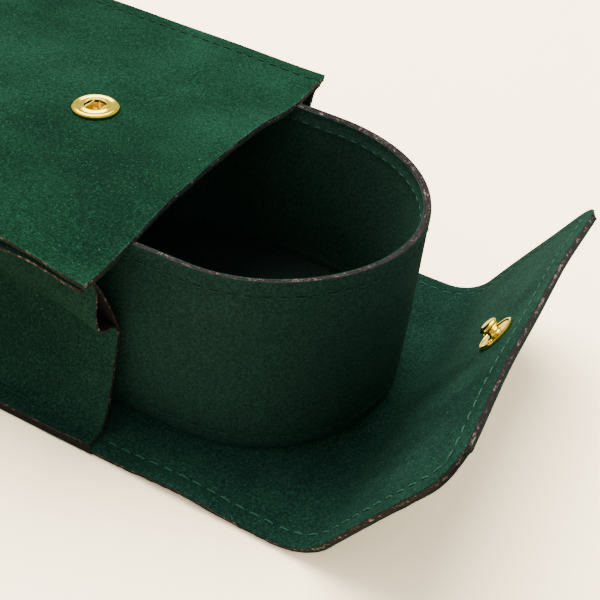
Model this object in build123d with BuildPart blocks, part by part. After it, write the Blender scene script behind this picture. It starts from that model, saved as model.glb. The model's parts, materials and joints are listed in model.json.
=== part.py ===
from build123d import *
import math
import os

# Travel jewelry case: a suede sleeve, open at its front, an oval cup that slides out of it, and a long
# flap that folds up over the mouth and snaps onto the top panel. Millimetres. +Z is up, the mouth faces
# -Y, and the origin is the middle of the sleeve's underside. Shown open: cup out, flap lying forward
# with its tip still holding the curl of its closed fold.

# ---- Driving dimensions -------------------------------------------------------------------------

case_width = 115.0
case_depth = 116.0
case_height = 58.0
back_corner_radius = 5.0

suede_ply = 0.6
board_ply = 0.9
lining_ply = 0.5

gusset_ply = 0.6
seam_flange = 7.5

cup_length = 110.0
cup_width = 82.0
cup_top_clearance = 0.4
cup_bottom_clearance = 0.3
cup_side_clearance = 0.7
cup_extension = 54.6

fold_gap = 0.6
flap_corner_radius = 9.0
flap_beyond_stud = 13.5
flap_rest_angle = 60.5

snap_setback = 39.5
snap_ring_diameter = 12.7
snap_ring_height = 1.2
snap_ring_hole = 6.2
snap_ring_lip = 0.25
snap_ring_floor = 0.3
snap_cavity_diameter = 9.6
snap_backing_diameter = 11.0
snap_backing_thickness = 0.5
snap_hub_diameter = 7.0
snap_hub_bore = 5.9
snap_wire_diameter = 0.5
snap_face_gap = 0.4
stud_flange_diameter = 10.6
stud_flange_height = 1.0
stud_rim_width = 0.7
stud_rim_depth = 0.4
stud_neck_diameter = 3.2
stud_neck_height = 1.2
stud_head_diameter = 5.2
stud_head_height = 1.8
stud_cap_diameter = 12.5
stud_cap_height = 0.9
stud_shank_diameter = 2.4
snap_wire_clearance = 0.2
board_pocket_clearance = 0.2

stitch_inset = 4.4
stitch_pitch = 3.4
stitch_length = 2.3
stitch_width = 0.5
stitch_height = 0.2

# ---- Derived places -----------------------------------------------------------------------------

panel = suede_ply + board_ply + lining_ply
half_width = case_width / 2
mouth_y = -case_depth / 2
back_y = case_depth / 2
mid_height = case_height / 2

gusset_root_x = half_width - seam_flange
gusset_waist_x = cup_width / 2 + cup_side_clearance

cup_bottom_z = panel + cup_bottom_clearance
cup_top_z = case_height - panel - cup_top_clearance
cup_height = cup_top_z - cup_bottom_z
cup_centre_y = mouth_y - cup_extension + cup_length / 2

snap_y = mouth_y + snap_setback
snap_gap = snap_ring_height + snap_face_gap + stud_flange_height

# The flap folds about lines in its inner face, each in the middle of a narrow gap between its lengths.
mouth_fold_y = mouth_y - fold_gap / 2
fold_z = panel
front_length = case_height + snap_gap - panel
tip_fold_y = mouth_fold_y - front_length
stud_from_fold = snap_y - mouth_fold_y
tip_length = stud_from_fold + flap_beyond_stud

print("mouth fold axis y, z:", mouth_fold_y, fold_z)
print("tip fold axis y, z:", round(tip_fold_y, 3), fold_z)
print("cup travel home:", cup_extension + fold_gap)

# ---- Planes of the flap -------------------------------------------------------------------------
# Local x runs across the flap, local y away from its fold, and local z leaves its inner face.

front_plane = Plane(origin=(0, mouth_fold_y, fold_z), x_dir=(-1, 0, 0), z_dir=(0, 0, 1))
lift = math.radians(flap_rest_angle)
tip_plane = Plane(
    origin=(0, tip_fold_y, fold_z),
    x_dir=(-1, 0, 0),
    z_dir=(0, math.sin(lift), math.cos(lift)),
)


# ---- Shared outlines ----------------------------------------------------------------------------


def side_outline(inset):
    """The sleeve's side view, this far inside its outer face and square at the mouth."""
    with BuildSketch(mode=Mode.PRIVATE) as outline:
        with Locations((mouth_y, inset)):
            Rectangle(case_depth - inset, case_height - 2 * inset, align=(Align.MIN, Align.MIN))
        fillet(outline.vertices().group_by(Axis.X)[-1], back_corner_radius - inset)
    return outline.sketch


def wrap_section(inset, ply):
    """Draws one ply of the wrap that runs along the top, down the back and along the bottom."""
    add(side_outline(inset))
    add(side_outline(inset + ply), mode=Mode.SUBTRACT)


def gusset_bow(inset, shift):
    """Front view of one face of the left gusset's wall, bowed towards the cup at mid height."""
    root = -gusset_root_x - shift
    waist = -gusset_waist_x - shift
    return ThreePointArc((root, inset), (waist, mid_height), (root, case_height - inset))


def between(near, far):
    """The face between two lines that run from the sleeve's bottom to its top."""
    with BuildSketch(mode=Mode.PRIVATE) as face:
        with BuildLine():
            add([near, far])
            Line(near @ 0, far @ 0)
            Line(near @ 1, far @ 1)
        make_face()
    return face.sketch


def oval(shrink):
    """Draws the cup's outline, this far inside its outer face."""
    with Locations((0, cup_centre_y)):
        SlotOverall(cup_length - 2 * shrink, cup_width - 2 * shrink, rotation=90)


def tip_outline():
    """Draws the flap's free end, square at the fold and rounded at its two corners."""
    with Locations((0, fold_gap / 2)):
        outline = Rectangle(case_width, tip_length - fold_gap / 2, align=(Align.CENTER, Align.MIN))
    fillet(outline.vertices().group_by(Axis.Y)[-1], flap_corner_radius)


def spread(start, end):
    """Middles of the stitches of a straight row between two distances."""
    count = max(1, round((end - start) / stitch_pitch))
    step = (end - start) / count
    return [start + step * (i + 0.5) for i in range(count)]


def lay_stitches(places):
    """Sets one stitch flat on the surface at each place."""
    with Locations(*places):
        Box(
            stitch_length,
            stitch_width,
            stitch_height,
            align=(Align.CENTER, Align.CENTER, Align.MIN),
        )


def oval_row(height):
    """Places of a stitch row round the cup's wall, each facing straight out of it."""
    radius = cup_width / 2
    straight = cup_length - cup_width
    arc = math.pi * radius
    perimeter = 2 * straight + 2 * arc
    places = []
    for distance in spread(0, perimeter):
        side, along = divmod(distance, straight + arc)
        if along < straight:
            x, y = radius, along - straight / 2
            heading = 0.0
        else:
            heading = (along - straight) / radius
            x = radius * math.cos(heading)
            y = straight / 2 + radius * math.sin(heading)
        turn = heading + math.pi * side
        if side:
            x, y = -x, -y
        outward = (math.cos(turn), math.sin(turn), 0)
        along_wall = (-math.sin(turn), math.cos(turn), 0)
        places.append(Plane((x, y + cup_centre_y, height), x_dir=along_wall, z_dir=outward).location)
    return places


def finish(piece, name):
    """Labels a finished piece and writes it."""
    piece.part.label = name
    export_step(piece.part, f"parts/{name}.step")


os.makedirs("parts", exist_ok=True)

# ---- Sleeve: one wrap of suede and lining, with a board in each panel ----------------------------

with BuildPart() as wrap_suede:
    with BuildSketch(Plane.YZ.offset(-half_width)):
        wrap_section(0, suede_ply)
    extrude(amount=case_width)
    # Hole in the top panel for the socket's hub.
    with Locations((0, snap_y, case_height)):
        Cylinder(snap_hub_diameter / 2, 2 * suede_ply, mode=Mode.SUBTRACT)
finish(wrap_suede, "wrap_suede")

with BuildPart() as wrap_lining:
    with BuildSketch(Plane.YZ.offset(-half_width)):
        wrap_section(suede_ply + board_ply, lining_ply)
    extrude(amount=case_width)
finish(wrap_lining, "wrap_lining")

board_back_y = back_y - back_corner_radius
with BuildPart() as top_board:
    with BuildSketch(Plane.XY.offset(case_height - suede_ply - board_ply)):
        with Locations((0, mouth_y)):
            Rectangle(case_width, board_back_y - mouth_y, align=(Align.CENTER, Align.MIN))
        # Pocket for the socket's backing disc.
        with Locations((0, snap_y)):
            Circle(snap_backing_diameter / 2 + board_pocket_clearance, mode=Mode.SUBTRACT)
    extrude(amount=board_ply)
finish(top_board, "top_board")

with BuildPart() as bottom_board:
    with BuildSketch(Plane.XY.offset(suede_ply)):
        with Locations((0, mouth_y)):
            Rectangle(case_width, board_back_y - mouth_y, align=(Align.CENTER, Align.MIN))
    extrude(amount=board_ply)
finish(bottom_board, "bottom_board")

with BuildPart() as back_board:
    with BuildSketch(Plane.XZ.offset(suede_ply - back_y)):
        with Locations((0, mid_height)):
            Rectangle(case_width, case_height - 2 * back_corner_radius)
    extrude(amount=board_ply)
finish(back_board, "back_board")

# ---- Gussets: a bowed wall whose edges turn outward and lie against the wrap ----------------------

gusset_plies = {
    "lining": (panel, 0),
    "suede": (panel + gusset_ply, gusset_ply),
}
for ply_name, (inset, shift) in gusset_plies.items():
    inner_face = gusset_bow(inset, shift)
    middle = gusset_bow(inset, shift + gusset_ply / 2)
    outer_face = gusset_bow(inset, shift + gusset_ply)
    outer_edge = Line((-half_width, inset), (-half_width, case_height - inset))

    with BuildPart() as flange:
        with BuildSketch(Plane.XZ.offset(-back_y)):
            add(between(middle, outer_edge))
        extrude(amount=case_depth)
        with BuildSketch(Plane.YZ.offset(-half_width)):
            wrap_section(inset, gusset_ply)
        extrude(amount=half_width, mode=Mode.INTERSECT)

    with BuildPart() as left_gusset:
        with BuildSketch(Plane.XZ.offset(-back_y)):
            add(between(inner_face, outer_face))
        extrude(amount=case_depth)
        with BuildSketch(Plane.YZ.offset(-half_width)):
            add(side_outline(inset))
        extrude(amount=half_width, mode=Mode.INTERSECT)
        add(flange.part)
    finish(left_gusset, f"left_gusset_{ply_name}")

    with BuildPart() as right_gusset:
        mirror(left_gusset.part, about=Plane.YZ)
    finish(right_gusset, f"right_gusset_{ply_name}")

# ---- Seam threads of the sleeve: one row along each side of the top, one on each lower flange -------

row_x = half_width - stitch_inset
lower_flange_z = panel + 2 * gusset_ply
side_seams = {
    "top_left_seam_thread": (-row_x, case_height),
    "top_right_seam_thread": (row_x, case_height),
    "bottom_left_seam_thread": (-row_x, lower_flange_z),
    "bottom_right_seam_thread": (row_x, lower_flange_z),
}
for seam_name, (x, z) in side_seams.items():
    with BuildPart() as seam:
        lay_stitches(
            [
                Location((x, y, z), (0, 0, 90))
                for y in spread(mouth_y + stitch_inset / 2, board_back_y - stitch_inset)
            ]
        )
    finish(seam, seam_name)

# ---- Snap socket on the top panel -----------------------------------------------------------------

ring_top_z = case_height + snap_ring_height
with BuildPart() as snap_socket_ring:
    with BuildSketch(Plane.XY.offset(case_height)):
        with Locations((0, snap_y)):
            Circle(snap_ring_diameter / 2)
            Circle(snap_hub_diameter / 2, mode=Mode.SUBTRACT)
    extrude(amount=snap_ring_floor)
    with BuildSketch(Plane.XY.offset(case_height + snap_ring_floor)):
        with Locations((0, snap_y)):
            Circle(snap_ring_diameter / 2)
            Circle(snap_cavity_diameter / 2, mode=Mode.SUBTRACT)
    extrude(amount=snap_ring_height - snap_ring_floor - snap_ring_lip)
    with BuildSketch(Plane.XY.offset(ring_top_z - snap_ring_lip)):
        with Locations((0, snap_y)):
            Circle(snap_ring_diameter / 2)
            Circle(snap_ring_hole / 2, mode=Mode.SUBTRACT)
    extrude(amount=snap_ring_lip)
    rim_edges = snap_socket_ring.edges().filter_by(GeomType.CIRCLE).group_by(Axis.Z)[-1]
    chamfer(rim_edges.sort_by(SortBy.RADIUS)[-1], snap_ring_lip)
finish(snap_socket_ring, "snap_socket_ring")

wire_z = case_height + snap_ring_floor + snap_wire_diameter / 2 + board_pocket_clearance / 2
wire_x = stud_neck_diameter / 2 + snap_wire_clearance + snap_wire_diameter / 2
wire_half_length = snap_cavity_diameter / 2 - snap_wire_diameter * 2
with BuildPart() as snap_socket_spring:
    with BuildSketch(Plane.XZ.offset(-snap_y - wire_half_length)):
        with Locations((-wire_x, wire_z), (wire_x, wire_z)):
            Circle(snap_wire_diameter / 2)
    extrude(amount=2 * wire_half_length)
finish(snap_socket_spring, "snap_socket_spring")

backing_z = case_height - suede_ply - board_ply
with BuildPart() as snap_socket_backing:
    with BuildSketch(Plane.XY.offset(backing_z)):
        with Locations((0, snap_y)):
            Circle(snap_backing_diameter / 2)
            Circle(snap_hub_bore / 2, mode=Mode.SUBTRACT)
    extrude(amount=snap_backing_thickness)
    with BuildSketch(Plane.XY.offset(backing_z)):
        with Locations((0, snap_y)):
            Circle(snap_hub_diameter / 2)
            Circle(snap_hub_bore / 2, mode=Mode.SUBTRACT)
    extrude(amount=suede_ply + board_ply + snap_ring_floor)
finish(snap_socket_backing, "snap_socket_backing")

# ---- Cup: three-ply oval wall with a three-ply bottom inside it -------------------------------------

wall_plies = {
    "cup_wall_suede": (0, suede_ply),
    "cup_wall_stiffener": (suede_ply, board_ply),
    "cup_wall_lining": (suede_ply + board_ply, lining_ply),
}
for ply_name, (inset, ply) in wall_plies.items():
    with BuildPart() as wall:
        with BuildSketch(Plane.XY.offset(cup_bottom_z)):
            oval(inset)
        extrude(amount=cup_height)
        with BuildSketch(Plane.XY.offset(cup_bottom_z)):
            oval(inset + ply)
        extrude(amount=cup_height, mode=Mode.SUBTRACT)
    finish(wall, ply_name)

bottom_plies = {
    "cup_bottom_suede": (0, suede_ply),
    "cup_bottom_board": (suede_ply, board_ply),
    "cup_bottom_lining": (suede_ply + board_ply, lining_ply),
}
for ply_name, (rise, ply) in bottom_plies.items():
    with BuildPart() as bottom:
        with BuildSketch(Plane.XY.offset(cup_bottom_z + rise)):
            oval(panel)
        extrude(amount=ply)
    finish(bottom, ply_name)

cup_seams = {
    "cup_rim_thread": cup_top_z - stitch_inset,
    "cup_bottom_thread": cup_bottom_z + stitch_inset,
}
for seam_name, height in cup_seams.items():
    with BuildPart() as seam:
        lay_stitches(oval_row(height))
    finish(seam, seam_name)

# ---- Flap: the length that covers the mouth, and the tip that folds over the top panel --------------

flap_plies = {
    "lining": (-lining_ply, lining_ply),
    "core": (-lining_ply - board_ply, board_ply),
    "suede": (-panel, suede_ply),
}
for ply_name, (depth, ply) in flap_plies.items():
    with BuildPart() as front:
        with BuildSketch(front_plane.offset(depth)):
            with Locations((0, fold_gap / 2)):
                Rectangle(case_width, front_length - fold_gap, align=(Align.CENTER, Align.MIN))
        extrude(amount=ply)
    finish(front, f"flap_front_{ply_name}")

    with BuildPart() as tip:
        with BuildSketch(tip_plane.offset(depth)):
            tip_outline()
            # Hole for the stud's shank.
            with Locations((0, stud_from_fold)):
                Circle(stud_shank_diameter / 2, mode=Mode.SUBTRACT)
        extrude(amount=ply)
    finish(tip, f"flap_tip_{ply_name}")

with BuildPart() as flap_front_thread:
    lay_stitches(
        [
            front_plane.location * Location((x, y, 0), (0, 0, 90))
            for x in (-row_x, row_x)
            for y in spread(stitch_inset, front_length - stitch_inset / 2)
        ]
    )
finish(flap_front_thread, "flap_front_thread")

corner_reach = flap_corner_radius
with BuildPart() as flap_tip_thread:
    side_rows = [
        tip_plane.location * Location((x, y, 0), (0, 0, 90))
        for x in (-row_x, row_x)
        for y in spread(stitch_inset / 2, tip_length - corner_reach)
    ]
    end_row = [
        tip_plane.location * Location((x, tip_length - stitch_inset, 0))
        for x in spread(corner_reach - half_width, half_width - corner_reach)
    ]
    lay_stitches(side_rows + end_row)
finish(flap_tip_thread, "flap_tip_thread")

# ---- Snap stud on the flap's tip --------------------------------------------------------------------

stud_base = Plane(tip_plane.location * Location((0, stud_from_fold, 0)))
stud_axis = Axis(stud_base.origin, stud_base.z_dir)
with BuildPart() as snap_stud:
    with BuildSketch(stud_base):
        Circle(stud_flange_diameter / 2)
    extrude(amount=stud_flange_height)
    # The flange is dished, which leaves a raised rim.
    with BuildSketch(stud_base.offset(stud_flange_height)):
        Circle(stud_flange_diameter / 2 - stud_rim_width)
        Circle(stud_neck_diameter / 2, mode=Mode.SUBTRACT)
    extrude(amount=-stud_rim_depth, mode=Mode.SUBTRACT)
    with BuildSketch(stud_base.offset(stud_flange_height)):
        Circle(stud_neck_diameter / 2)
    extrude(amount=stud_neck_height)
    with BuildSketch(stud_base.offset(stud_flange_height + stud_neck_height)):
        Circle(stud_head_diameter / 2)
    extrude(amount=stud_head_height)
    fillet(snap_stud.faces().sort_by(stud_axis)[-1].edges(), stud_head_height / 2)
finish(snap_stud, "snap_stud")

with BuildPart() as snap_stud_cap:
    with BuildSketch(stud_base.offset(-panel)):
        Circle(stud_cap_diameter / 2)
    extrude(amount=-stud_cap_height)
    with BuildSketch(stud_base.offset(-panel)):
        Circle(stud_shank_diameter / 2)
    extrude(amount=panel)
finish(snap_stud_cap, "snap_stud_cap")
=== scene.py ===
import math

import bpy
import numpy as np
from mathutils import Matrix, Vector
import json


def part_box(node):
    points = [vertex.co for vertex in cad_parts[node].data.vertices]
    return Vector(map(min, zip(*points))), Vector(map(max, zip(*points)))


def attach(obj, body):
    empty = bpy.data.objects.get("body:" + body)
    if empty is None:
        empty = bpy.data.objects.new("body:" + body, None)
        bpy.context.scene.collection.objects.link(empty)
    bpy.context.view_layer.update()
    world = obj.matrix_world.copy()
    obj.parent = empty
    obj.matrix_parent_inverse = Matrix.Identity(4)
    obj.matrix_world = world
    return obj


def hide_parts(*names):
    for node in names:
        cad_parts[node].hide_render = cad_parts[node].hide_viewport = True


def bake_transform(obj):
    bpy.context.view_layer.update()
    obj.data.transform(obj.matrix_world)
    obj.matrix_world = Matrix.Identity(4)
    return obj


# Travel jewelry case: a green suede sleeve with an oval cup sliding out of it and a snap-down flap.
# Shapes are worked out in millimetres in the frame's axes (+Z up, mouth towards -Y) and turned into
# metres when a mesh is made.

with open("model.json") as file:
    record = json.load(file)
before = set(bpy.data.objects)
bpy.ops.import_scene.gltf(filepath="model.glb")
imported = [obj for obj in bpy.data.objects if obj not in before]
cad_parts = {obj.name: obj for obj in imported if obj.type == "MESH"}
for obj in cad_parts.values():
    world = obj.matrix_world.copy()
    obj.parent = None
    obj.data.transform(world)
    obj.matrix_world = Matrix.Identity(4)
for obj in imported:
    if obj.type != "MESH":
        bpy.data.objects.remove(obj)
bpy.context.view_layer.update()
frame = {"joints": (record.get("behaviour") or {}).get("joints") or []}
MM = 0.001


# ---- Places taken from the frame ------------------------------------------------------------------

def box_mm(node):
    low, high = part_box(node)
    return np.array(low) / MM, np.array(high) / MM


case_low, case_high = box_mm("wrap_suede")
cup_low, cup_high = box_mm("cup_wall_suede")
ring_low, ring_high = box_mm("snap_socket_ring")
JOINTS = {joint["name"]: joint for joint in frame["joints"]}

HALF_WIDTH = case_high[0]
MOUTH_Y = case_low[1]
BACK_Y = case_high[1]
HEIGHT = case_high[2]
SNAP_Y = (ring_low[1] + ring_high[1]) / 2
MOUTH_FOLD = np.array(JOINTS["flap_front_fold"]["pos_m"]) / MM
TIP_FOLD = np.array(JOINTS["flap_tip_fold"]["pos_m"]) / MM

# A panel's thickness, the sleeve's bends at the back, and where stitch rows run and how deep they lie.
PANEL = 2.0
BACK_RADIUS = 5.0
STITCH_INSET = 4.4
STITCH_PITCH = 3.9
STITCH_SINK = 0.12

TIP_ANGLE = math.radians(90 - JOINTS["flap_tip_fold"]["range_deg"][1])

# The flap's inner face: flat, then a rolled bend, then straight at the tip's angle.
BEND_LENGTH = 15.6
BEND_RADIUS = BEND_LENGTH / TIP_ANGLE
BEND_START = MOUTH_Y - TIP_FOLD[1] - BEND_RADIUS * math.tan(TIP_ANGLE / 2)
_, tip_high = box_mm("flap_tip_lining")
TIP_REACH = (tip_high[2] - PANEL) / math.sin(TIP_ANGLE)
CUT_SHORT = 2 * BEND_RADIUS * math.tan(TIP_ANGLE / 2) - BEND_LENGTH
FLAP_LENGTH = MOUTH_Y - TIP_FOLD[1] + TIP_REACH - CUT_SHORT
# Where the flap's two pieces join, and the radius of its corners.
FLAP_SPLIT = 26.0
FLAP_CORNER = 9.0
rng = np.random.default_rng(11)


# ---- Smooth fields --------------------------------------------------------------------------------

def ramp(x, low, high):
    """0 below low, 1 above high, and smooth between."""
    t = np.clip((np.asarray(x, float) - low) / (high - low), 0, 1)
    return t * t * (3 - 2 * t)


def bump(x, middle, width):
    """A smooth hump of height 1."""
    return np.exp(-(((np.asarray(x, float) - middle) / width) ** 2))


def ripple(points, wavelength, seed, waves=7):
    """A smooth random field from about -1 to 1, the same for the same seed."""
    draw = np.random.default_rng(seed)
    total = np.zeros(points.shape[:-1])
    for _ in range(waves):
        direction = draw.normal(size=3)
        direction /= np.linalg.norm(direction)
        length = wavelength * draw.uniform(0.7, 1.5)
        total += np.sin(points @ direction * (2 * math.pi / length) + draw.uniform(0, 2 * math.pi))
    return total / math.sqrt(waves)


def settle_case(points, forward=1.0):
    """How the soft sleeve has settled: its near front corner droops and its far side stands a little high.
    forward is how much of the panel's overhang at the mouth a piece takes part in."""
    x, y, z = points[..., 0], points[..., 1], points[..., 2]
    high = ramp(z, 20, 54)
    into = y - MOUTH_Y
    off_snap = 1 - bump(np.hypot(x, y - SNAP_Y), 0, 15)
    near_corner = ramp(-x, 20, 56) * bump(into, 0, 13)
    far_sag = bump(x, 38, 13) * bump(into, 0, 12)
    out = np.array(points, float)
    out[..., 2] += high * (-3.4 * near_corner - 2.0 * far_sag)
    out[..., 2] += high * off_snap * (2.0 * ramp(x, 12, 57) * ramp(into, 4, 80))
    out[..., 2] += high * off_snap * 0.28 * ripple(points, 55, 3)
    front_edge = bump(into, 0, 9) * (0.9 * bump(x, 2, 22) - 0.3 * bump(x, 36, 12))
    out[..., 1] += forward * high * (front_edge - 0.7 * near_corner)
    return out


# ---- Mesh making ----------------------------------------------------------------------------------

def unit(v):
    return v / np.maximum(np.linalg.norm(v, axis=-1, keepdims=True), 1e-9)


def grid_normals(points, around=False):
    """Normals of a grid of points, along rows cross columns."""
    if around:
        wrapped = np.concatenate([points[-1:], points, points[:1]], axis=0)
        along = (wrapped[2:] - wrapped[:-2]) / 2
    else:
        along = np.gradient(points, axis=0)
    across = np.gradient(points, axis=1)
    return unit(np.cross(along, across))


def make_object(name, verts, faces, materials, face_material=None, sharp=40):
    mesh = bpy.data.meshes.new(name)
    mesh.from_pydata([tuple(v) for v in np.asarray(verts) * MM], [], [tuple(map(int, f)) for f in faces])
    for material in materials:
        mesh.materials.append(material)
    if face_material is not None:
        mesh.polygons.foreach_set("material_index", np.asarray(face_material, np.int32))
    mesh.polygons.foreach_set("use_smooth", np.ones(len(mesh.polygons), bool))
    mesh.update()
    mesh.set_sharp_from_angle(angle=math.radians(sharp))
    obj = bpy.data.objects.new(name, mesh)
    bpy.context.scene.collection.objects.link(obj)
    return obj


# A slab's materials, in order. The last, a painted highlight along the top of a cut edge, is there only on
# the wrap.
SUEDE_PLY, CORE_PLY, BACK_PLY, DARK_PLY, HIGHLIGHT_PLY = range(5)
# Across a cut edge: how far down the edge, how far it stands out in mm, and the material of the strip below.
CUT_EDGE = [
    (0.0, 0.0, SUEDE_PLY), (0.06, 0.1, DARK_PLY), (0.22, 0.0, CORE_PLY), (0.42, 0.07, CORE_PLY),
    (0.6, 0.0, DARK_PLY), (0.82, 0.08, SUEDE_PLY), (0.95, 0.08, SUEDE_PLY), (1.0, 0.0, SUEDE_PLY),
]
# The wrap's cut edges begin with a narrow strip of painted highlight.
WRAP_EDGE = [(0.0, 0.0, HIGHLIGHT_PLY), (0.05, 0.12, HIGHLIGHT_PLY), (0.12, 0.1, DARK_PLY)] + CUT_EDGE[2:]


def slab(name, top, thickness, materials, around=False, flip=False, back=None, edge=CUT_EDGE, rough=0.07):
    """A sheet with a real thickness. top is its outer face as a grid, and its cut edges show their plies."""
    rows, cols = top.shape[:2]
    normal = grid_normals(top, around) * (-1 if flip else 1)
    bottom = top - normal * thickness if back is None else back
    verts = [top.reshape(-1, 3), bottom.reshape(-1, 3)]
    n = rows * cols
    faces, mats = [], []
    for i in range(rows if around else rows - 1):
        a, b = i * cols, ((i + 1) % rows) * cols
        for j in range(cols - 1):
            quad = (a + j, b + j, b + j + 1, a + j + 1)
            if flip:
                quad = quad[::-1]
            faces.append(quad)
            faces.append(tuple(n + k for k in quad[::-1]))
            mats += [SUEDE_PLY, BACK_PLY]
    # The loops of points along the sheet's cut edges.
    if around:
        loops = [[i * cols for i in range(rows)][::-1], [i * cols + cols - 1 for i in range(rows)]]
    else:
        loop = list(range(cols))
        loop += [i * cols + cols - 1 for i in range(1, rows)]
        loop += [(rows - 1) * cols + j for j in range(cols - 2, -1, -1)]
        loop += [i * cols for i in range(rows - 2, 0, -1)]
        loops = [loop[::-1]]
    count = 2 * n
    flat_top, flat_bottom = verts
    flat_normal = normal.reshape(-1, 3)
    for loop in loops:
        if flip:
            loop = loop[::-1]
        above, below, facing = flat_top[loop], flat_bottom[loop], flat_normal[loop]
        tangent = unit(np.roll(above, -1, axis=0) - np.roll(above, 1, axis=0))
        outward = -unit(np.cross(facing, tangent))
        rings = [np.array(loop)]
        ragged = rng.normal(size=(len(loop), len(edge)))
        for k, (down, out, _) in enumerate(edge[1:-1], start=1):
            ring = above + (below - above) * down + outward * (out + rough * ragged[:, k : k + 1])
            verts.append(ring)
            rings.append(np.arange(count, count + len(loop)))
            count += len(loop)
        rings.append(np.array(loop) + n)
        for k in range(len(rings) - 1):
            upper, lower = rings[k], rings[k + 1]
            for i in range(len(loop)):
                j = (i + 1) % len(loop)
                faces.append((upper[i], upper[j], lower[j], lower[i]))
                mats.append(edge[k][2])
    return make_object(name, np.concatenate(verts), faces, materials, mats)


def drill(obj, centre, radius):
    """Cuts a round upright hole right through a piece."""
    place = Matrix.Translation(centre)
    cutter = lathe("cutter", [(radius, -6.0), (radius, 6.0)], place, DARK_CORE, segments=48)
    cut = obj.modifiers.new("hole", "BOOLEAN")
    cut.operation, cut.solver, cut.object = "DIFFERENCE", "EXACT", cutter
    bpy.context.view_layer.update()
    whole = obj.evaluated_get(bpy.context.evaluated_depsgraph_get())
    mesh = bpy.data.meshes.new_from_object(whole)
    obj.modifiers.remove(cut)
    obj.data = mesh
    bpy.data.objects.remove(cutter)


def lathe(name, profile, place, material, segments=96, knurl=None, closed=False):
    """Turns a profile of (radius, height) points about local Z. knurl gives each point's ridge depth, and
    closed joins the profile's last point to its first."""
    profile = np.array(profile, float)
    knurl = np.zeros(len(profile)) if knurl is None else np.array(knurl, float)
    angle = np.linspace(0, 2 * math.pi, segments, endpoint=False)
    ridge = 0.5 + 0.5 * np.cos(angle * segments / 2)
    radius = profile[None, :, 0] - knurl[None, :] * ridge[:, None]
    height = np.broadcast_to(profile[None, :, 1], radius.shape)
    verts = np.stack([radius * np.cos(angle)[:, None], radius * np.sin(angle)[:, None], height], -1)
    cols = len(profile)
    faces = []
    for i in range(segments):
        a, b = i * cols, ((i + 1) % segments) * cols
        for j in range(cols if closed else cols - 1):
            k = (j + 1) % cols
            faces.append((a + j, b + j, b + k, a + k))
    verts = verts.reshape(-1, 3)
    if not closed:
        for end, turn in ((0, 1), (cols - 1, -1)):
            faces.append(tuple(i * cols + end for i in range(segments))[::turn])
    world = np.array([list(place @ Vector(v)) for v in verts])
    return make_object(name, world, faces, [material], sharp=35)


def curve_through(points, count):
    """A smooth open line through the points, resampled evenly."""
    p = np.array(points, float)
    p = np.concatenate([[2 * p[0] - p[1]], p, [2 * p[-1] - p[-2]]])
    fine = []
    for a, b, c, d in zip(p[:-3], p[1:-2], p[2:-1], p[3:]):
        for t in np.linspace(0, 1, 16, endpoint=False):
            bent = (2 * a - 5 * b + 4 * c - d) * t**2 + (3 * b - a - 3 * c + d) * t**3
            fine.append(0.5 * (2 * b + (c - a) * t + bent))
    fine = np.array(fine + [p[-2]])
    along = np.concatenate([[0], np.cumsum(np.linalg.norm(np.diff(fine, axis=0), axis=1))])
    at = np.linspace(0, along[-1], count)
    return np.stack([np.interp(at, along, fine[:, k]) for k in range(fine.shape[1])], -1)


def tube_faces(start, rings, sides):
    """Faces of a closed-ended tube whose rings of vertices begin at start."""
    faces = []
    for r in range(rings - 1):
        here, there = start + r * sides, start + (r + 1) * sides
        for s in range(sides):
            q = (s + 1) % sides
            faces.append((here + s, here + q, there + q, there + s))
    faces.append(tuple(start + s for s in range(sides))[::-1])
    faces.append(tuple(start + (rings - 1) * sides + s for s in range(sides)))
    return faces


def across_positions(half, step=3.2):
    """Positions across a panel, close together by the edges and the stitch rows."""
    near = np.array([0, 0.35, 0.9, 1.8, 2.8, 3.4, 3.8, 4.1, STITCH_INSET, 4.7, 5.0, 5.5, 6.4, 8.0])
    inner = half - near[-1]
    middle = np.linspace(-inner, inner, max(3, int(2 * inner / step)))
    return np.concatenate([near - half, middle[1:-1], (half - near)[::-1]])


def seam_dip(from_edge, pull=0.2):
    """How much a stitch row pulls the face in, with the edge puffing slightly beyond it."""
    row = pull * bump(from_edge, STITCH_INSET, 0.75)
    return row - 0.07 * bump(from_edge, 2.0, 1.6) + 0.16 * bump(from_edge, 0, 0.4)


# ---- Materials ------------------------------------------------------------------------------------

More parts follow.
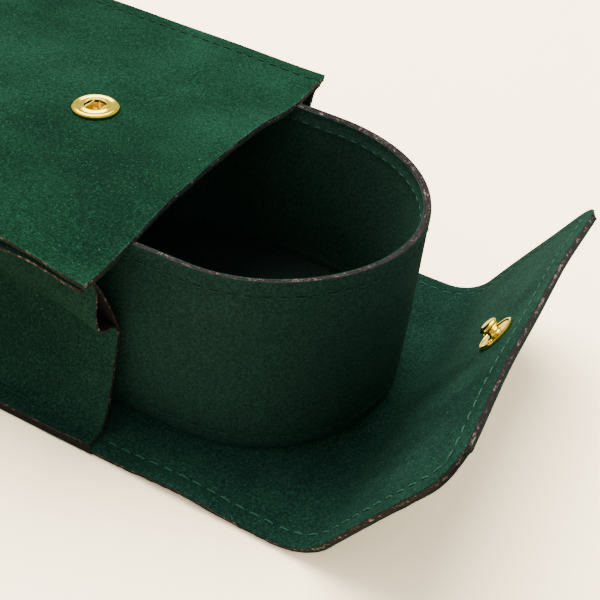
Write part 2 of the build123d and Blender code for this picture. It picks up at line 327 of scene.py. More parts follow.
class Nodes:
    """A short way to write a material's node tree."""

    def __init__(self, name):
        self.material = bpy.data.materials.new(name)
        self.material.use_nodes = True
        self.tree = self.material.node_tree
        self.shader = self.tree.nodes["Principled BSDF"]
        self.coords = self.add("ShaderNodeTexCoord").outputs["Object"]

    def add(self, kind, **settings):
        node = self.tree.nodes.new(kind)
        for key, value in settings.items():
            setattr(node, key, value)
        return node

    def link(self, out, into):
        self.tree.links.new(out, into)

    def stretched(self, scale):
        node = self.add("ShaderNodeMapping")
        node.inputs["Scale"].default_value = scale
        self.link(self.coords, node.inputs["Vector"])
        return node.outputs["Vector"]

    def noise(self, scale, detail=3, rough=0.55, vector=None, distortion=0.0):
        node = self.add("ShaderNodeTexNoise")
        node.inputs["Scale"].default_value = scale
        node.inputs["Detail"].default_value = detail
        node.inputs["Roughness"].default_value = rough
        node.inputs["Distortion"].default_value = distortion
        self.link(vector or self.coords, node.inputs["Vector"])
        return node.outputs["Fac"]

    def ramp(self, value, stops):
        node = self.add("ShaderNodeValToRGB")
        elements = node.color_ramp.elements
        while len(elements) < len(stops):
            elements.new(0.5)
        for element, (at, colour) in zip(elements, stops):
            element.position = at
            element.color = (*colour, 1)
        self.link(value, node.inputs["Fac"])
        return node.outputs["Color"]

    def mix(self, a, b, factor, kind="MIX"):
        node = self.add("ShaderNodeMix", data_type="RGBA", blend_type=kind)
        self.link(a, node.inputs[6])
        self.link(b, node.inputs[7])
        if isinstance(factor, float):
            node.inputs[0].default_value = factor
        else:
            self.link(factor, node.inputs[0])
        return node.outputs[2]

    def math(self, kind, a, b):
        node = self.add("ShaderNodeMath", operation=kind)
        for i, value in enumerate((a, b)):
            if isinstance(value, (int, float)):
                node.inputs[i].default_value = value
            else:
                self.link(value, node.inputs[i])
        return node.outputs[0]

    def relief(self, height, strength, distance, below=None):
        node = self.add("ShaderNodeBump")
        node.inputs["Strength"].default_value = strength
        node.inputs["Distance"].default_value = distance
        self.link(height, node.inputs["Height"])
        if below is not None:
            self.link(below, node.inputs["Normal"])
        return node.outputs["Normal"]

    def set(self, **values):
        for key, value in values.items():
            self.shader.inputs[key.replace("_", " ")].default_value = value


def suede(name, deep, mid, light, blotch=1.0, sheen=0.012, speck=1.7):
    """Napped suede: patches where the nap lies differently, fine speckle, and a soft fibrous relief.
    blotch is how strong the patches are, and speck how bright the painted highlights on its single raised
    fibres are."""
    n = Nodes(name)
    patches = n.noise(17, 3, 0.5, distortion=0.5)
    strokes = n.noise(85, 3, 0.6, n.stretched((1.0, 0.45, 1.0)))
    nap = n.noise(1300, 4, 0.75)
    shares = (0.42 * blotch, 0.18 * blotch, 0.62)
    tone = n.math("MULTIPLY", patches, shares[0])
    tone = n.math("ADD", tone, n.math("MULTIPLY", strokes, shares[1]))
    tone = n.math("ADD", tone, n.math("MULTIPLY", nap, shares[2]))
    tone = n.math("ADD", tone, 0.5 - sum(shares) / 2)
    colour = n.ramp(tone, [(0.4, deep), (0.5, mid), (0.61, light)])
    fibres = n.noise(2600, 2, 0.6)
    colour = n.mix(colour, n.ramp(fibres, [(0.3, (0.5, 0.5, 0.5)), (0.7, (1, 1, 1))]), 0.6, "MULTIPLY")
    # Single raised fibres that catch the light, painted into the base colour as highlights.
    specks = n.ramp(n.noise(2100, 1, 0.5), [(0.66, (0, 0, 0)), (0.76, (1, 1, 1))])
    bright = n.ramp(specks, [(0.0, light), (1.0, tuple(speck * c for c in light))])
    n.link(n.mix(colour, bright, specks), n.shader.inputs["Base Color"])
    coarse = n.relief(nap, 0.5, 0.0004)
    n.link(n.relief(fibres, 0.45, 0.00018, coarse), n.shader.inputs["Normal"])
    n.set(Roughness=0.92, Specular_IOR_Level=0.03)
    n.set(Sheen_Weight=sheen, Sheen_Roughness=0.3, Sheen_Tint=(0.3, 0.8, 0.55, 1))
    return n.material


def cut_core(name, dark, fuzz, share=0.6):
    """The raw core of a cut edge: nearly black board with pale broken fibres standing out of it."""
    n = Nodes(name)
    strands = n.noise(1050, 5, 0.8)
    clumps = n.noise(260, 2, 0.6)
    field = n.math("ADD", n.math("MULTIPLY", strands, 0.7), n.math("MULTIPLY", clumps, 0.3))
    middle = tuple((a + b) / 2 for a, b in zip(dark, fuzz))
    shade = n.ramp(field, [(share - 0.07, dark), (share, middle), (share + 0.1, fuzz)])
    n.link(shade, n.shader.inputs["Base Color"])
    n.link(n.relief(strands, 0.9, 0.0004), n.shader.inputs["Normal"])
    n.set(Roughness=0.95, Specular_IOR_Level=0.45)
    return n.material


def thread_material(name, dark, light):
    """Twisted sewing thread."""
    n = Nodes(name)
    twist = n.add("ShaderNodeTexWave", wave_type="BANDS", bands_direction="DIAGONAL")
    twist.inputs["Scale"].default_value = 900
    twist.inputs["Distortion"].default_value = 1.0
    n.link(n.coords, twist.inputs["Vector"])
    shade = n.ramp(twist.outputs["Fac"], [(0.1, dark), (0.9, light)])
    wear = n.ramp(n.noise(700), [(0.3, (0.6, 0.6, 0.6)), (0.8, (1, 1, 1))])
    n.link(n.mix(shade, wear, 0.5, "MULTIPLY"), n.shader.inputs["Base Color"])
    n.link(n.relief(twist.outputs["Fac"], 0.6, 0.0001), n.shader.inputs["Normal"])
    n.set(Roughness=0.8, Specular_IOR_Level=0.15)
    return n.material


def metal(name, colour, darker, rough):
    """Gold-plated brass with faint handling marks."""
    n = Nodes(name)
    marks = n.noise(420, 4, 0.6)
    n.link(n.ramp(marks, [(0.3, darker), (0.6, colour)]), n.shader.inputs["Base Color"])
    shine = n.add("ShaderNodeMapRange")
    shine.inputs["To Min"].default_value = rough * 0.7
    shine.inputs["To Max"].default_value = rough * 1.5
    n.link(n.noise(160, 3), shine.inputs["Value"])
    n.link(shine.outputs["Result"], n.shader.inputs["Roughness"])
    n.link(n.relief(n.noise(900, 3), 0.15, 0.00006), n.shader.inputs["Normal"])
    n.set(Metallic=1.0)
    return n.material


SUEDE = suede("green_suede", (0.0039, 0.0228, 0.012), (0.0072, 0.0414, 0.0219), (0.0132, 0.0705, 0.0378))
SMOOTH_SUEDE = suede(
    "green_suede_smooth", (0.0092, 0.029, 0.0225), (0.0144, 0.0451, 0.0349), (0.0218, 0.0706, 0.0536),
    blotch=0.35, sheen=0.054, speck=0.9,
)
# A lighter copy of the top panel's suede: painted light that lifts the flap's shaded middle. The gussets'
# outer plies use it too.
LIT_FLAP_SUEDE = suede(
    "green_suede_flap", (0.0062, 0.025, 0.0175), (0.0115, 0.045, 0.031), (0.0205, 0.077, 0.052),
)
# A brighter copy of the suede for that strip along the wrap's edges: a painted highlight.
EDGE_HIGHLIGHT_SUEDE = suede("green_suede_painted_edge_highlight", (0.009, 0.066, 0.036), (0.018, 0.108, 0.06), (0.033, 0.165, 0.096))
# The cup's lining, lighter than the outer suede: painted light that lifts the cup's shaded inside.
LIT_INNER_SUEDE = suede(
    "lit_cup_lining_suede", (0.0168, 0.0441, 0.0311), (0.0235, 0.0622, 0.0428), (0.0344, 0.0924, 0.063),
    blotch=0.5, speck=1.2,
)
# The cup's floor, darker than its lining: painted shade at the bottom of the cup.
SHADED_FLOOR_SUEDE = suede(
    "cup_floor_suede", (0.012, 0.025, 0.0202), (0.0163, 0.0336, 0.0269), (0.0221, 0.0456, 0.0365),
    blotch=0.5, sheen=0.006, speck=1.0,
)
CORE = cut_core("cut_edge_core", (0.0105, 0.006, 0.006), (0.51, 0.36, 0.336))
DARK_CORE = cut_core("cut_edge_dark", (0.0036, 0.0024, 0.0024), (0.018, 0.012, 0.012))
MESH_CORE = cut_core("gusset_core", (0.0042, 0.0024, 0.0024), (0.048, 0.03, 0.027))
# One thread in two copies: a lighter one, painted light, for the flap's rows and the cup's inside rim row,
# and a darker one, painted shade, for the other seams.
LIT_THREAD = thread_material("flap_thread", (0.0195, 0.084, 0.0495), (0.039, 0.162, 0.099))
SHADED_THREAD = thread_material("seam_thread", (0.0075, 0.033, 0.0195), (0.018, 0.075, 0.0465))
BRASS = metal("gold_brass", (0.98, 0.825, 0.03), (0.87, 0.54, 0.021), 0.13)
WIRE = metal("spring_wire", (0.98, 0.75, 0.105), (0.54, 0.33, 0.045), 0.2)


# ---- Stitches -------------------------------------------------------------------------------------

STITCH_LENGTH = 2.75
STITCH_RADIUS = 0.21


def sew(name, line, normals, thread=None):
    """A row of separate stitches along a line on a surface, each dipping into it at both ends."""
    along = np.concatenate([[0], np.cumsum(np.linalg.norm(np.diff(line, axis=0), axis=1))])
    count = int(along[-1] / STITCH_PITCH)
    step = along[-1] / count
    draw = np.random.default_rng(len(name) * 7 + count)
    verts, faces = [], []
    sides, rings = 8, 9
    turn = np.linspace(0, 2 * math.pi, sides, endpoint=False)
    for i in range(count):
        middle = (i + 0.5) * step + draw.normal(0, 0.06)
        half = STITCH_LENGTH / 2 * draw.uniform(0.93, 1.07)
        at = np.clip(middle + np.linspace(-half, half, rings), 0, along[-1])
        centre = np.stack([np.interp(at, along, line[:, k]) for k in range(3)], -1)
        up = unit(np.stack([np.interp(at, along, normals[:, k]) for k in range(3)], -1))
        forward = unit(np.gradient(centre, axis=0))
        side = unit(np.cross(up, forward))
        t = np.linspace(-1, 1, rings)
        lift = 0.12 - 0.34 * t**4
        width = STITCH_RADIUS * np.sqrt(np.clip(1 - 0.85 * t**6, 0.05, 1))
        slant = draw.normal(0, 0.05) * t
        centre = centre + up * lift[:, None] + side * slant[:, None]
        faces += tube_faces(len(verts), rings, sides)
        for r in range(rings):
            for a in turn:
                verts.append(centre[r] + width[r] * (math.cos(a) * side[r] + 0.8 * math.sin(a) * up[r]))
    return make_object(name, np.array(verts), faces, [thread or SHADED_THREAD], sharp=60)


def dress(piece, body=None, nodes=()):
    """Gives a piece its body and the CAD nodes it stands for."""
    if body:
        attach(piece, body)
    if nodes:
        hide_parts(*nodes)
    return piece


# ---- Sleeve: the wrap round top, back and bottom --------------------------------------------------

# Along the wrap: each flat panel, each bend at the back, and the upright back between the bends.
WRAP_FLAT = BACK_Y - BACK_RADIUS - MOUTH_Y
WRAP_TURN = BACK_RADIUS * math.pi / 2
WRAP_UPRIGHT = HEIGHT - 2 * BACK_RADIUS
WRAP_LENGTH = 2 * WRAP_FLAT + 2 * WRAP_TURN + WRAP_UPRIGHT
SNAP_HOLE_RADIUS = 3.3


def wrap_face(x, u):
    """Outer face of the wrap at x, and u along it from the top's front edge."""
    x, u = np.broadcast_arrays(np.asarray(x, float), np.asarray(u, float))
    past_top = np.clip(u - WRAP_FLAT, 0, None)
    upper_turn = np.clip(past_top / BACK_RADIUS, 0, math.pi / 2)
    down = np.clip(past_top - WRAP_TURN, 0, WRAP_UPRIGHT)
    past_back = np.clip(past_top - WRAP_TURN - WRAP_UPRIGHT, 0, None)
    lower_turn = np.clip(past_back / BACK_RADIUS, 0, math.pi / 2)
    forward = np.clip(past_back - WRAP_TURN, 0, None)
    y = MOUTH_Y + np.clip(u, None, WRAP_FLAT) - forward
    y = y + BACK_RADIUS * (np.sin(upper_turn) + np.cos(lower_turn) - 1)
    z = HEIGHT - down - BACK_RADIUS * (1 - np.cos(upper_turn) + np.sin(lower_turn))
    return np.stack([x, y, z], -1)


def build_wrap():
    back_start, back_end = WRAP_FLAT + WRAP_TURN, WRAP_LENGTH - WRAP_FLAT - WRAP_TURN
    u = np.concatenate([
        [0, 0.4, 1.0, 1.9, 3.0],
        np.linspace(5.0, WRAP_FLAT, 44),
        np.linspace(WRAP_FLAT, back_start, 9)[1:],
        np.linspace(back_start, back_end, 18)[1:],
        np.linspace(back_end, back_end + WRAP_TURN, 9)[1:],
        np.linspace(back_end + WRAP_TURN, WRAP_LENGTH, 30)[1:],
    ])
    x = across_positions(HALF_WIDTH)
    ideal = wrap_face(x[None, :], u[:, None])
    top = settle_case(ideal)
    normal = -grid_normals(top)
    from_side = HALF_WIDTH - np.abs(x)
    dip = np.broadcast_to(seam_dip(from_side, np.where(x < 0, 0.06, 0.3))[None, :], top.shape[:2])
    # Nothing puffs out below the underside.
    dip = np.where(ideal[..., 2] < 1.0, np.maximum(dip, 0), dip)
    top = top - normal * dip[..., None]
    materials = [SUEDE, CORE, SMOOTH_SUEDE, DARK_CORE, EDGE_HIGHLIGHT_SUEDE]
    piece = slab("wrap", top, PANEL, materials, flip=True, edge=WRAP_EDGE)
    # The bottom panel's cut edges get the dark core all the way through: painted shade under the case.
    for face in piece.data.polygons:
        if face.center.z < 3.0 * MM and face.material_index == CORE_PLY:
            face.material_index = DARK_PLY
    drill(piece, (0, SNAP_Y, HEIGHT), SNAP_HOLE_RADIUS)
    dress(piece, "case", ["wrap_suede", "wrap_lining", "top_board", "bottom_board", "back_board"])
    # The near row has sunk deeper into the nap than the far one.
    for side, word, sink in ((-1, "left", 0.3), (1, "right", 0.14)):
        for part, low, high in (("top", 1.5, back_start), ("back", back_start, back_end)):
            u = np.linspace(low, high, 160)
            line = settle_case(wrap_face(side * (HALF_WIDTH - STITCH_INSET), u))
            inner = settle_case(wrap_face(side * (HALF_WIDTH - STITCH_INSET - 0.5), u))
            up = unit(np.cross(np.gradient(line, axis=0), line - inner)) * -side
            row = sew(f"{part}_{word}_stitches", line - up * sink, up)
            dress(row, "case", [f"top_{word}_seam_thread"] if part == "top" else [])


# ---- Gussets: an inner and an outer ply that part at the upper front of the mouth ------------------

# The front view of a gusset's outer face at the mouth and deep inside, as (distance from the middle, height).
GUSSET_FRONT = [
    (57.2, 3.3), (55.6, 3.4), (53.4, 3.8), (51.4, 6.0), (49.8, 10.5), (48.2, 16.5), (46.4, 24.0),
    (45.6, 30.5), (46.3, 35.5), (47.8, 40.5), (49.7, 45.5), (51.6, 50.0), (53.3, 53.3), (54.9, 54.4),
    (57.2, 54.2),
]
GUSSET_DEEP = [
    (57.2, 3.3), (55.4, 3.4), (52.8, 3.6), (50.2, 5.0), (48.0, 9.5), (46.0, 16.0), (44.4, 23.0),
    (43.7, 29.5), (44.3, 35.5), (46.0, 42.5), (48.2, 48.5), (50.4, 52.5), (52.6, 54.3), (54.4, 54.5),
    (57.2, 52.3),
]
GUSSET_RECESS = 0.7
OUTER_PLY, INNER_PLY = 0.6, 0.65
GUSSET_EDGE = [
    (0.0, 0.0, SUEDE_PLY), (0.14, 0.05, CORE_PLY), (0.45, 0.06, CORE_PLY), (0.78, 0.02, DARK_PLY),
    (0.9, 0.0, DARK_PLY), (1.0, 0.0, DARK_PLY),
]


def gusset_face(side, stand_off, count=60, rows=48):
    """A gusset's face as a grid: rows run from the mouth to the back, columns from bottom to top."""
    front, deep = curve_through(GUSSET_FRONT, count), curve_through(GUSSET_DEEP, count)
    share = np.concatenate([[0, 0.004, 0.012], np.linspace(0.025, 1, rows)])
    first, last = MOUTH_Y + GUSSET_RECESS, BACK_Y - PANEL - 1.0
    y = first + (last - first) * share
    into = ramp(y - MOUTH_Y, 0, 45)[:, None, None]
    profile = front[None] * (1 - into) + deep[None] * into
    along = unit(np.gradient(profile, axis=1))
    profile = profile + stand_off * np.stack([along[..., 1], -along[..., 0]], -1)
    y = np.broadcast_to(y[:, None], profile.shape[:2])
    return np.stack([side * profile[..., 0], y, profile[..., 1]], -1)


def build_gusset(side, word):
    inner = gusset_face(side, -INNER_PLY)
    outer = gusset_face(side, 0.0)
    depth = outer[..., 1] - MOUTH_Y
    z = outer[..., 2]
    # The outer ply stands off the inner one in the upper half, most at the near side's mouth, and turns
    # back in at a crease.
    crease = 33.5 - 3.0 * ramp(depth, 0, 60)
    fade = 0.22 + 0.78 * np.exp(-depth / 16.0)
    if side > 0:
        fade = 0.15 * fade
    pillow = ramp(z, crease, crease + 3.8) * (1 - ramp(z, 40, 54.0))
    outer[..., 0] += side * 5.2 * fade * pillow
    # Both plies dip together along the crease.
    dip = side * 0.8 * bump(z, crease - 2.5, 3.0) * (0.5 + 0.5 * np.exp(-depth / 30))
    outer[..., 0] -= dip
    inner[..., 0] -= dip
    outer[..., 0] += side * 0.35 * ripple(outer, 38, 17 + side)
    inner[..., 0] += side * 0.2 * ripple(inner, 38, 17 + side)
    outer, inner = settle_case(outer, 0.0), settle_case(inner, 0.0)
    outside = [LIT_FLAP_SUEDE, CORE, MESH_CORE, DARK_CORE]
    inside = [MESH_CORE, CORE, SMOOTH_SUEDE, DARK_CORE]
    for place, face, thickness, materials, rough, slot, node in (
        ("outer", outer, OUTER_PLY, outside, 0.05, "suede", "suede"),
        ("inner", inner, INNER_PLY, inside, 0.06, "lining_suede", "lining"),
    ):
        name = f"{word}_gusset_{place}"
        ply = slab(name, face, thickness, materials, flip=side < 0, edge=GUSSET_EDGE, rough=rough)
        dress(ply, "case", [f"{word}_gusset_{node}"])
    # The bottom row runs on the gusset's turned-out edge.
    ends = [(side * (HALF_WIDTH - STITCH_INSET + 0.4), y, 3.62) for y in (MOUTH_Y + 1.5, BACK_Y - 6)]
    line = np.linspace(*np.array(ends), 150)
    row = sew(f"bottom_{word}_stitches", line, np.broadcast_to([0.0, 0.0, 1.0], line.shape))
    dress(row, "case", [f"bottom_{word}_seam_thread"])


# ---- Flap ------------------------------------------------------------------------------------------

def flap_face(x, s):
    """The flap's inner face at x and s along it from the mouth."""
    x, s = np.broadcast_arrays(np.asarray(x, float), np.asarray(s, float))
    turned = np.clip(s - BEND_START, 0, BEND_LENGTH) / BEND_RADIUS
    beyond = np.clip(s - BEND_START - BEND_LENGTH, 0, None)
    y = -np.clip(s, None, BEND_START) - BEND_RADIUS * np.sin(turned) - beyond * math.cos(TIP_ANGLE)
    z = PANEL + BEND_RADIUS * (1 - np.cos(turned)) + beyond * math.sin(TIP_ANGLE)
    # A shallow wave where the two sides lie off the table, the near one more, and a bow in the tip that
    # leaves the snap alone.
    z = z + 1.3 * ramp(-x, 26, 58) * bump(s, 25, 12) + 0.5 * ramp(x, 30, 58) * bump(s, 30, 12)
    lean = ramp(s, BEND_START + BEND_LENGTH, FLAP_LENGTH)
    off_snap = 1 - bump(np.hypot(x, s - (FLAP_LENGTH - 13.5)), 0, 12)
    bow = off_snap * lean * (1.6 * ramp(np.abs(x), 18, 58) - 0.5)
    y = y - bow * math.sin(TIP_ANGLE)
    z = z - bow * math.cos(TIP_ANGLE)
    points = np.stack([x, MOUTH_Y + y, z], -1)
    points[..., 2] += 0.12 * ripple(points, 34, 29) * ramp(s, 4, 20)
    return points


def flap_half_width(s):
    """Half the flap's width, narrower where its two free corners are rounded."""
    into_corner = np.clip(s - (FLAP_LENGTH - FLAP_CORNER), 0, FLAP_CORNER)
    return HALF_WIDTH - FLAP_CORNER + np.sqrt(np.maximum(FLAP_CORNER**2 - into_corner**2, 0))


def flap_piece(name, s):
    share = across_positions(HALF_WIDTH) / HALF_WIDTH
    half = flap_half_width(s)
    x = share[None, :] * half[:, None]
    top = flap_face(x, s[:, None])
    from_side = half[:, None] - np.abs(x)
    from_end = np.broadcast_to((FLAP_LENGTH - s)[:, None], from_side.shape)
    normal = grid_normals(top)
    dip = np.where(from_side < from_end, seam_dip(from_side), seam_dip(from_end))
    top = top - normal * dip[..., None]
    return slab(name, top, PANEL, [LIT_FLAP_SUEDE, CORE, SUEDE, DARK_CORE])


def on_flap(x, s):
    """Points on the flap's inner face and its normals there."""
    here = flap_face(x, s)
    along = flap_face(x, s + 0.3) - flap_face(x, s - 0.3)
    normal = unit(np.cross(along, flap_face(x + 0.3, s) - flap_face(x - 0.3, s)))
    return here - normal * STITCH_SINK, normal


def build_flap():
    front_rows = np.linspace(0.0, FLAP_SPLIT, 22)
    end = FLAP_LENGTH - np.array([
        FLAP_CORNER, 8.2, 7.2, 6.2, 5.5, 5.0, 4.7, STITCH_INSET, 4.1, 3.8, 3.4, 2.8, 2.0, 1.2,
        0.6, 0.25, 0.06, 0.0,
    ])
    tip_rows = np.concatenate([
        np.linspace(FLAP_SPLIT, BEND_START - 2, 12),
        np.linspace(BEND_START - 2, BEND_START + BEND_LENGTH + 2, 22)[1:],
        np.linspace(BEND_START + BEND_LENGTH + 2, end[0], 18)[1:-1],
        end,
    ])
    root, rest = flap_piece("flap_root", front_rows), flap_piece("flap_body", tip_rows)
    dress(root, None, ["flap_front_suede", "flap_front_core"])
    dress(rest, None, ["flap_front_lining", "flap_tip_lining", "flap_tip_core", "flap_tip_suede"])
    rows = []
    for side, word in ((-1, "left"), (1, "right")):
        for name, low, high in (("root", 1.0, FLAP_SPLIT), ("body", FLAP_SPLIT, FLAP_LENGTH - FLAP_CORNER)):
            s = np.linspace(low, high, 200)
            line, normal = on_flap(np.full(200, side * (HALF_WIDTH - STITCH_INSET)), s)
            rows.append((sew(f"flap_{name}_{word}_stitches", line, normal, LIT_THREAD), name))
    # Round the two corners and along the free edge.
    inner = FLAP_CORNER - STITCH_INSET
    turn = np.linspace(0, math.pi / 2, 24)
    corner_x, corner_s = HALF_WIDTH - FLAP_CORNER, FLAP_LENGTH - FLAP_CORNER
    x_bend, s_bend = corner_x + inner * np.cos(turn), corner_s + inner * np.sin(turn)
    x = np.concatenate([-x_bend, np.linspace(-corner_x, corner_x, 160)[1:-1], x_bend[::-1]])
    s = np.concatenate([s_bend, np.full(158, corner_s + inner), s_bend[::-1]])
    line, normal = on_flap(x, s)
    rows.append((sew("flap_end_stitches", line, normal, LIT_THREAD), "body"))
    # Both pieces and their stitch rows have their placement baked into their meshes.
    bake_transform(root)
    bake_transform(rest)
    for row, name in rows:
        dress(row, None, [f"flap_{'front' if name == 'root' else 'tip'}_thread"])
        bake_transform(row)


# ---- Cup -------------------------------------------------------------------------------------------

CUP_HALF = (cup_high[0] - cup_low[0]) / 2
CUP_MIDDLE_Y = (cup_low[1] + cup_high[1]) / 2
CUP_STRAIGHT = (cup_high[1] - cup_low[1]) - 2 * CUP_HALF
CUP_ROUND = 2 * CUP_STRAIGHT + 2 * math.pi * CUP_HALF
CUP_EDGE = [
    (0.0, 0.0, SUEDE_PLY), (0.08, 0.12, DARK_PLY), (0.2, 0.0, CORE_PLY), (0.31, 0.06, CORE_PLY),
    (0.42, 0.0, DARK_PLY), (0.52, 0.0, CORE_PLY), (0.66, 0.06, CORE_PLY), (0.76, 0.0, DARK_PLY),
    (0.88, 0.14, BACK_PLY), (1.0, 0.0, BACK_PLY),
]


def oval_points(distance, inset=0.0):
    """Points of the cup's outline at distances along its outer face, and their outward directions."""
    half_round = CUP_STRAIGHT + math.pi * CUP_HALF
    side, along = np.divmod(np.asarray(distance, float) % CUP_ROUND, half_round)
    angle = np.clip((along - CUP_STRAIGHT) / CUP_HALF, 0, None)
    radius = CUP_HALF - inset
    x = radius * np.cos(angle)
    y = np.clip(along, None, CUP_STRAIGHT) - CUP_STRAIGHT / 2 + radius * np.sin(angle)
    sign = np.where(side > 0, -1.0, 1.0)
    outward = np.stack([sign * np.cos(angle), sign * np.sin(angle)], -1)
    return np.stack([sign * x, sign * y + CUP_MIDDLE_Y], -1), outward


def cup_face(distance, z):
    """Outer face of the cup's wall, a little uneven, with a rim that waves gently."""
    distance, z = np.broadcast_arrays(distance, z)
    flat, outward = oval_points(distance)
    points = np.concatenate([flat, z[..., None]], -1)
    swell = 0.25 * ripple(points, 46, 41) * ramp(z, cup_low[2], cup_low[2] + 12)
    swell = swell - 0.35 * bump(z, cup_low[2], 2.0)
    wave = 0.35 * np.sin(distance * (2 * math.pi / CUP_ROUND) * 3 + 1.0)
    points[..., :2] += outward * swell[..., None]
    points[..., 2] += (wave - 0.2) * ramp(z, cup_high[2] - 14, cup_high[2])
    return points


def build_cup():
    low, high = cup_low[2], cup_high[2]
    near = np.array([0, 0.3, 0.9, 2.0, 3.0, 3.6, 4.0, STITCH_INSET, 4.8, 5.2, 6.0, 7.5])
    between = np.linspace(low + near[-1], high - near[-1], 14)[1:-1]
    z = np.concatenate([low + near, between, (high - near)[::-1]])
    distance = np.linspace(0, CUP_ROUND, 241)[:-1]
    top = cup_face(distance[:, None], z[None, :])
    normal = grid_normals(top, around=True)
    from_edge = np.minimum(z - low, high - z)
    top = top - normal * seam_dip(from_edge)[None, :, None]
    materials = [SMOOTH_SUEDE, CORE, LIT_INNER_SUEDE, DARK_CORE]
    wall = slab("cup_wall", top, PANEL, materials, around=True, edge=CUP_EDGE)
    dress(wall, "cup", ["cup_wall_suede", "cup_wall_stiffener", "cup_wall_lining"])
    # The floor fills the wall's inside.
    share = np.concatenate([np.linspace(0.02, 0.9, 12), [0.95, 0.98, 1.0]])
    rim, _ = oval_points(distance, PANEL)
    middle = np.array([0.0, CUP_MIDDLE_Y])
    grid = middle + (rim - middle)[:, None, :] * share[None, :, None]
    face = np.concatenate([grid, np.zeros(grid.shape[:2] + (1,))], -1)
    face[..., 2] = low + PANEL + 0.15 + 0.5 * (1 - share**2)[None, :] + 0.08 * ripple(face, 30, 51)
    under = face.copy()
    under[..., 2] = low + 0.1
    materials = [SHADED_FLOOR_SUEDE, CORE, SMOOTH_SUEDE, DARK_CORE]
    floor = slab("cup_floor", face, PANEL, materials, around=True, flip=True, back=under, rough=0.0)
    dress(floor, "cup", ["cup_bottom_suede", "cup_bottom_board", "cup_bottom_lining"])
    around = np.linspace(0, CUP_ROUND, 500)
    _, outward = oval_points(around)
    up = np.concatenate([outward, np.zeros((500, 1))], -1)
    rim_line, base_line = cup_face(around, high - STITCH_INSET), cup_face(around, low + STITCH_INSET)
    dress(sew("cup_rim_stitches", rim_line - up * STITCH_SINK, up), "cup", ["cup_rim_thread"])
    dress(sew("cup_rim_inside", rim_line - up * (PANEL + 0.05), -up, LIT_THREAD), "cup")
    dress(sew("cup_base_stitches", base_line - up * STITCH_SINK, up), "cup", ["cup_bottom_thread"])


# ---- Snap ------------------------------------------------------------------------------------------

WIRE_RADIUS = 0.25
WIRE_HEIGHT = 0.68


def build_snap():
    base = Matrix.Translation((0, SNAP_Y, HEIGHT))
    outer = (ring_high[0] - ring_low[0]) / 2
    tall = ring_high[2] - HEIGHT
    profile = [
        (3.5, 0.0), (outer - 0.55, 0.0), (outer - 0.12, 0.12), (outer, 0.4), (outer - 0.05, 0.72),
        (outer - 0.35, 0.98), (outer - 0.75, tall), (outer - 1.15, tall - 0.03), (outer - 1.45, tall - 0.22),
        (outer - 1.75, tall - 0.3),
        (3.85, tall - 0.24), (3.5, tall - 0.06), (3.25, tall), (3.05, tall - 0.04), (2.95, tall - 0.22),
        (3.1, tall - 0.42), (4.6, 0.75), (4.7, 0.35), (3.5, 0.3),
    ]
    knurl = [0, 0, 0.05, 0.09, 0.09, 0.05] + [0] * (len(profile) - 6)
    ring = lathe("snap_ring", profile, base, BRASS, segments=144, knurl=knurl, closed=True)
    dress(ring, "case", ["snap_socket_ring"])
    # The spring: two wires that cross the hole and hook round inside the ring.
    verts, faces = [], []
    centre = np.array([0, SNAP_Y, HEIGHT])
    steps, sides = 40, 12
    for side in (-1, 1):
        half = [(-4.3, 1.0), (-3.6, 2.0), (-1.8, 2.1), (0.0, 2.02), (1.8, 2.1), (3.6, 2.0), (4.3, 1.0)]
        route = curve_through([(along, side * apart) for along, apart in half], steps)
        route = np.concatenate([route, np.full((steps, 1), WIRE_HEIGHT)], -1)
        up = np.array([0.0, 0.0, 1.0])
        across = unit(np.cross(up, unit(np.gradient(route, axis=0))))
        faces += tube_faces(len(verts), steps, sides)
        for point, sideways in zip(route, across):
            for turn in np.linspace(0, 2 * math.pi, sides, endpoint=False):
                verts.append(centre + point + WIRE_RADIUS * (math.cos(turn) * sideways + math.sin(turn) * up))
    spring = make_object("snap_spring", np.array(verts), faces, [WIRE], sharp=50)
    dress(spring, "case", ["snap_socket_spring"])
    # The hub lines the hole, with a floor and a flange under the top panel.
    hub_profile = [
        (5.4, -2.0), (5.4, -1.05), (3.45, -0.95), (3.45, 0.28), (3.0, 0.3), (2.95, -1.88), (0.02, -1.88),
        (0.02, -2.0),
    ]
    hub = lathe("snap_hub", hub_profile, base, BRASS, closed=True)
    dress(hub, "case", ["snap_socket_backing"])

    # The stud stands as far from the tip's fold as the socket does from the mouth.
    reach = SNAP_Y - MOUTH_FOLD[1]
    direction = np.array([0, -math.cos(TIP_ANGLE), math.sin(TIP_ANGLE)])
    out = np.array([0, math.sin(TIP_ANGLE), math.cos(TIP_ANGLE)])
    place = np.array([0, TIP_FOLD[1], TIP_FOLD[2]]) + direction * reach
    tilt = Vector((0, 0, 1)).rotation_difference(Vector(out)).to_matrix().to_4x4()
    turned = Matrix.Translation(tuple(place)) @ tilt
    stud_profile = [
        (4.9, 0.0), (5.25, 0.18), (5.3, 0.55), (5.22, 0.9), (5.0, 1.02), (4.72, 0.98), (4.55, 0.8),
        (4.3, 0.66), (2.3, 0.6), (1.95, 0.68), (1.68, 0.95), (1.55, 1.4), (1.55, 1.8), (1.75, 2.15),
        (2.25, 2.35), (2.52, 2.7), (2.6, 3.1), (2.48, 3.5), (2.1, 3.82), (1.4, 3.97),
    ]
    stud = lathe("stud", stud_profile, turned, BRASS)
    dress(stud, "flap_tip", ["snap_stud"])
    cap_profile = [
        (1.2, 0.0), (1.2, -PANEL), (5.9, -PANEL), (6.2, -PANEL - 0.12), (6.25, -PANEL - 0.3),
        (6.1, -PANEL - 0.5), (4.8, -PANEL - 0.75), (2.5, -PANEL - 0.88), (0.4, -PANEL - 0.9),
    ]
    cap = lathe("stud_cap", cap_profile, turned, BRASS)
    dress(cap, "flap_tip", ["snap_stud_cap"])


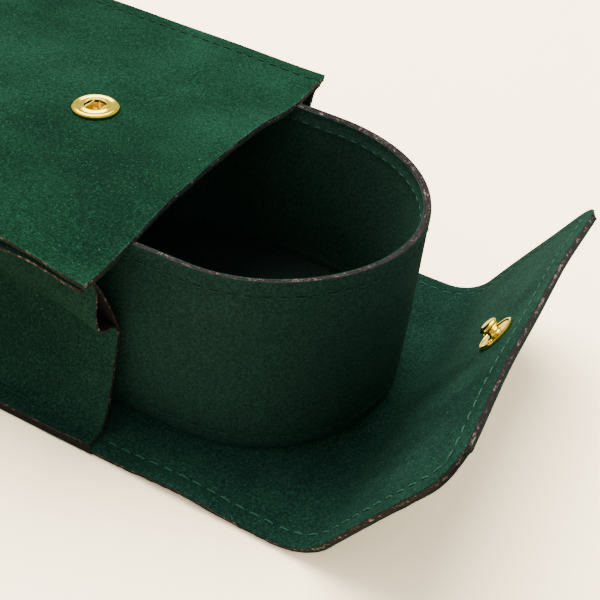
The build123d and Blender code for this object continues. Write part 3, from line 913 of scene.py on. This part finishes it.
# ---- Stage -----------------------------------------------------------------------------------------

CAMERA_AZIMUTH = -66.72
CAMERA_ELEVATION = 38.99
CAMERA_ROLL = 7.21
CAMERA_DISTANCE = 283.6
CAMERA_SHIFT_RIGHT = 24.98
CAMERA_SHIFT_UP = 8.33
CAMERA_LENS = 58.77
# In metres, and how many times brighter the floor looks to the camera than to the case.
FLOOR_HALF = 6.0
FLOOR_Z = -0.0002
FLOOR_SHOWN = 3.0


def build_camera():
    """The camera stands at the near side of the mouth, rolled a little."""
    a, e, r = (math.radians(v) for v in (CAMERA_AZIMUTH, CAMERA_ELEVATION, CAMERA_ROLL))
    back = Vector((math.sin(a) * math.cos(e), -math.cos(a) * math.cos(e), math.sin(e)))
    level = Vector((math.cos(a), math.sin(a), 0))
    upright = back.cross(level)
    right = level * math.cos(r) + upright * math.sin(r)
    up = upright * math.cos(r) - level * math.sin(r)
    aim = Vector((0, MOUTH_Y, 0)) + right * CAMERA_SHIFT_RIGHT + up * CAMERA_SHIFT_UP
    place = aim + back * CAMERA_DISTANCE
    data = bpy.data.cameras.new("camera")
    data.lens = CAMERA_LENS
    data.sensor_width = 36
    data.clip_start, data.clip_end = 0.01, 20
    camera = bpy.data.objects.new("camera", data)
    camera.matrix_world = Matrix.Translation(place * MM) @ Matrix((right, up, back)).transposed().to_4x4()
    bpy.context.scene.collection.objects.link(camera)
    bpy.context.scene.camera = camera


def area_light(name, place, target, size, power, colour):
    data = bpy.data.lights.new(name, "AREA")
    data.shape = "DISK"
    data.size = size
    data.energy = power
    data.color = colour
    lamp = bpy.data.objects.new(name, data)
    lamp.location = place
    lamp.rotation_mode = "QUATERNION"
    lamp.rotation_quaternion = (Vector(target) - Vector(place)).to_track_quat("-Z", "Y")
    bpy.context.scene.collection.objects.link(lamp)


def build_stage():
    n = Nodes("pale_floor")
    paper = n.ramp(n.noise(3, 2), [(0.3, (0.90, 0.75, 0.51)), (0.7, (0.92, 0.77, 0.53))])
    # The pale background stays bright without washing the dark suede out.
    seen = n.add("ShaderNodeLightPath").outputs["Is Camera Ray"]
    brighter = n.add("ShaderNodeVectorMath", operation="SCALE")
    n.link(paper, brighter.inputs[0])
    n.link(n.math("ADD", n.math("MULTIPLY", seen, FLOOR_SHOWN - 1), 1.0), brighter.inputs["Scale"])
    n.link(brighter.outputs[0], n.shader.inputs["Base Color"])
    n.set(Roughness=0.85, Specular_IOR_Level=0.2)
    corners = [(x * FLOOR_HALF, y * FLOOR_HALF, FLOOR_Z) for x, y in ((-1, -1), (1, -1), (1, 1), (-1, 1))]
    mesh = bpy.data.meshes.new("floor")
    mesh.from_pydata(corners, [], [(0, 1, 2, 3)])
    mesh.materials.append(n.material)
    floor = bpy.data.objects.new("floor", mesh)
    bpy.context.scene.collection.objects.link(floor)
    world = bpy.data.worlds.new("studio")
    bpy.context.scene.world = world
    world.use_nodes = True
    background = world.node_tree.nodes["Background"]
    background.inputs["Color"].default_value = (1.0, 0.96, 0.9, 1)
    background.inputs["Strength"].default_value = 0.767
    area_light("key", (0.36, 0.45, 1.3), (0, -0.05, 0.02), 1.45, 47.3, (1.0, 0.955, 0.9))
    area_light("fill", (0.9, -1.0, 0.5), (0, -0.08, 0.02), 1.0, 4.6, (1.0, 0.97, 0.94))


build_camera()
build_stage()
build_wrap()
build_gusset(-1, "left")
build_gusset(1, "right")
build_cup()
build_flap()
build_snap()
